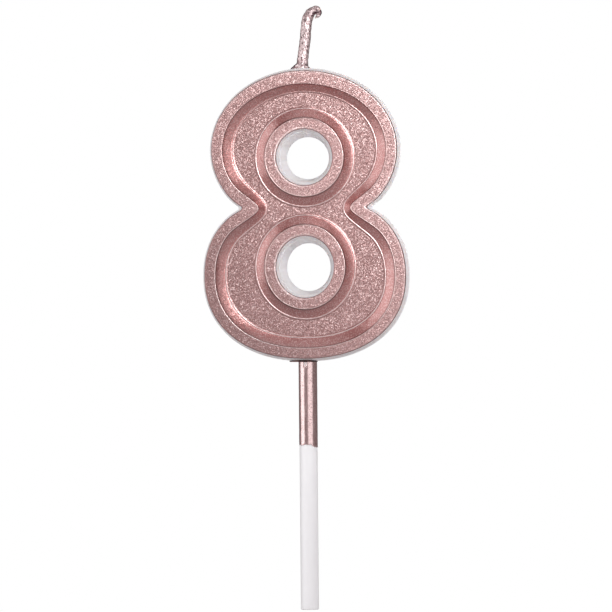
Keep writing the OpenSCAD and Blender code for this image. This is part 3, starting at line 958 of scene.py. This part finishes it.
coat, strands = build_wick(rose_wick, cotton)
pieces = [
    (build_wax(wax), "wax_body", "wax"),
    (build_coat(rose_face), "face_lacquer", "face_lacquer"),
    (build_pick(plastic), "pick_rod", "pick_plastic"),
    (build_pick_lacquer(rose_pick), "pick_lacquer", "pick_lacquer"),
    (coat, "wick_coat", "wick_coat"),
]
pieces += [(s, f"wick_strand_{n + 1}", "wick_cotton") for n, s in enumerate(strands)]
for piece, node, slot in pieces:
    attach(piece, "root")
    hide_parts(node)

# ---------------------------------------------------------------- stage

FLOOR_Z, FLOOR_R, FLOOR_THICK, FLOOR_EDGE = -60.0, 340.0, 12.0, 3.0


def build_stage():
    """A round pale table top below the candle."""
    t = np.arange(DISC_N) * 2 * np.pi / DISC_N
    shell = Shell()
    underside, inner_r = FLOOR_Z - FLOOR_THICK, FLOOR_R - FLOOR_EDGE
    rings = []
    for r, z in (
        (inner_r, underside),
        (FLOOR_R, underside + FLOOR_EDGE),
        (FLOOR_R, FLOOR_Z - FLOOR_EDGE),
        (inner_r, FLOOR_Z),
    ):
        rings.append(shell.ring3(np.stack([r * np.cos(t), r * np.sin(t), np.full(DISC_N, z)], axis=1)))
    shell.bands(rings)
    shell.cap(rings[0], (0, 0, underside))
    shell.cap(rings[-1], (0, 0, FLOOR_Z))
    mesh_object("studio_table", shell.points, shell.faces, floor_material())


build_stage()


def softbox(name, bearing, height, distance, size, radiance, aim=(0.0, 0.0, 0.035), spread=180):
    """Area light at a bearing from the front (degrees, towards +X) and a height (degrees)."""
    a, e = math.radians(bearing), math.radians(height)
    target = Vector(aim)
    away = Vector((math.sin(a) * math.cos(e), -math.cos(a) * math.cos(e), math.sin(e)))
    data = bpy.data.lights.new(name, "AREA")
    data.shape = "RECTANGLE"
    data.size, data.size_y = size
    data.energy = radiance * math.pi * size[0] * size[1]
    data.color = (0.965, 1.0, 1.0)
    data.spread = math.radians(spread)
    o = bpy.data.objects.new(name, data)
    bpy.context.scene.collection.objects.link(o)
    o.location = target + away * distance
    o.rotation_euler = away.to_track_quat("Z", "Y").to_euler()
    o.visible_camera = False
    return o


softbox("key_left", -70, 12, 0.50, (0.50, 0.62), 1.25)
softbox("front_right", 31, 10, 0.26, (0.30, 0.28), 0.85)
softbox("near_right", 22, 15, 0.12, (0.06, 0.06), 1.22, (0.012, 0.0, 0.060), 70)
softbox("top", 10, 82, 0.55, (0.5, 0.4), 0.6)
for fill in (
    softbox("wall_fill", 104, 12, 0.45, (0.4, 0.4), 0.95),
    softbox("front_fill", -8, 5, 0.50, (0.5, 0.5), 0.42),
    softbox("left_fill", -48, 8, 0.50, (0.4, 0.4), 0.42),
):
    fill.visible_glossy = False

world = bpy.data.worlds.new("studio")
bpy.context.scene.world = world
world.use_nodes = True
nodes, links = world.node_tree.nodes, world.node_tree.links
background = nodes["Background"]
background.inputs["Color"].default_value = (1.0, 0.84, 0.84, 1)
# The room is darker behind the candle and below it than in front
direction = nodes.new("ShaderNodeSeparateXYZ")
links.new(nodes.new("ShaderNodeTexCoord").outputs["Generated"], direction.inputs[0])
falloff = nodes.new("ShaderNodeMapRange")
links.new(direction.outputs["Y"], falloff.inputs["Value"])
for name, value in (("From Min", -0.7), ("From Max", 0.5), ("To Min", 0.33), ("To Max", 0.22)):
    falloff.inputs[name].default_value = value
lower = nodes.new("ShaderNodeMapRange")
links.new(direction.outputs["Z"], lower.inputs["Value"])
for name, value in (("From Min", -0.9), ("From Max", 0.1), ("To Min", 0.58), ("To Max", 1.0)):
    lower.inputs[name].default_value = value
strength = nodes.new("ShaderNodeMath")
strength.operation = "MULTIPLY"
links.new(falloff.outputs["Result"], strength.inputs[0])
links.new(lower.outputs["Result"], strength.inputs[1])
links.new(strength.outputs[0], background.inputs["Strength"])
# The camera sees plain white behind the candle, and everything else is lit by the room
white = nodes.new("ShaderNodeBackground")
white.inputs["Color"].default_value = (1, 1, 1, 1)
white.inputs["Strength"].default_value = 1.0
choose = nodes.new("ShaderNodeMixShader")
links.new(nodes.new("ShaderNodeLightPath").outputs["Is Camera Ray"], choose.inputs["Fac"])
links.new(background.outputs[0], choose.inputs[1])
links.new(white.outputs[0], choose.inputs[2])
links.new(choose.outputs[0], nodes["World Output"].inputs["Surface"])

bpy.context.scene.view_settings.view_transform = "Standard"

# ---------------------------------------------------------------- camera

# Width of the view at the candle and the camera's distance, in metres
FIELD = 0.102
DISTANCE = 1.0
SENSOR = 36
BEARING, ROLL = math.radians(5), math.radians(0.5)
aim = Vector((-0.00022, 0, 0.0256))
away = Vector((math.sin(BEARING), -math.cos(BEARING), 0))
camera_data = bpy.data.cameras.new("camera")
camera_data.sensor_width = SENSOR
camera_data.lens = SENSOR * DISTANCE / FIELD
camera_data.clip_start = 0.01
camera = bpy.data.objects.new("camera", camera_data)
bpy.context.scene.collection.objects.link(camera)
look = away.to_track_quat("Z", "Y").to_matrix().to_4x4()
camera.matrix_world = Matrix.Translation(aim + away * DISTANCE) @ look @ Matrix.Rotation(-ROLL, 4, "Z")
bpy.context.scene.camera = camera
